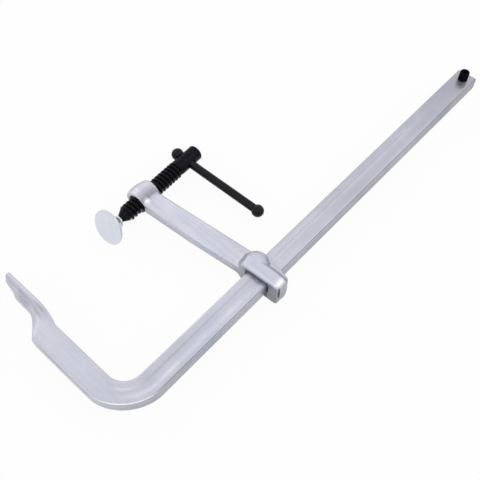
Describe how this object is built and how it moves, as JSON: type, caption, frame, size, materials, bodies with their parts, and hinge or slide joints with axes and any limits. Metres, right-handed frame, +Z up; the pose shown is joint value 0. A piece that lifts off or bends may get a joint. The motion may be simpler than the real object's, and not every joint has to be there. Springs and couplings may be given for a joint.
{
  "type": "f-clamp",
  "caption": "All-steel screw clamp: a long grooved rail with a fixed jaw, and a sliding arm that carries a threaded spindle with a swivelling pressure pad and a sliding tommy bar.",
  "frame": {"origin": "on the fixed jaw's clamping face, level with the spindle and midway through the jaw's width", "axes": "+X from the fixed jaw's face along the rail to its free end, +Y from the rail towards the jaws' tips, +Z up through the side that the stop screw stands on, with the clamp lying on its other side"},
  "size_m": [0.4745, 0.1739, 0.0316],
  "materials": {
    "plated_steel": "satin zinc plating over a forged skin",
    "bright_plating": "bright plating",
    "black_oxide": "oiled black oxide",
    "spring_wire": "bare spring wire"
  },
  "bodies": {
    "rail": {"rail": "plated_steel", "stop_screw": "black_oxide"},
    "arm": {"sliding_arm": "plated_steel"},
    "pad_ring": {"pad_snap_ring": "spring_wire"},
    "spindle": {"spindle": "black_oxide"},
    "tommy": {"tommy_bar": "black_oxide", "tommy_ball_near": "black_oxide", "tommy_ball_far": "black_oxide"},
    "pad": {"pressure_pad": "bright_plating"}
  },
  "joints": [
    {"name": "arm_slide", "type": "slide", "parent": "rail", "child": "arm", "axis": [1, 0, 0], "range_m": [-0.048, 0.282]},
    {"name": "spindle_feed", "type": "slide", "parent": "arm", "child": "pad_ring", "axis": [-0.9988, -0.0489, 0], "range_m": [-0.019, 0.029]},
    {"name": "spindle_turn", "type": "hinge", "parent": "pad_ring", "child": "spindle", "pos_m": [0.13421, 0.00036, 0], "axis": [-0.9988, -0.0489, 0], "range_deg": [-1710, 2610]},
    {"name": "tommy_slide", "type": "slide", "parent": "spindle", "child": "tommy", "axis": [-0.0488, 0.9971, 0.0576], "range_m": [0, 0.0733]},
    {"name": "pad_tilt", "type": "hinge", "parent": "pad_ring", "child": "pad", "pos_m": [0.09246, -0.00168, 0], "axis": [-0.0489, 0.9988, 0], "range_deg": [-39.1, 0.3]}
  ],
  "couplings": [
    {"joint": "spindle_feed", "follows": "spindle_turn", "m_per_rad": 0.0006366}
  ]
}
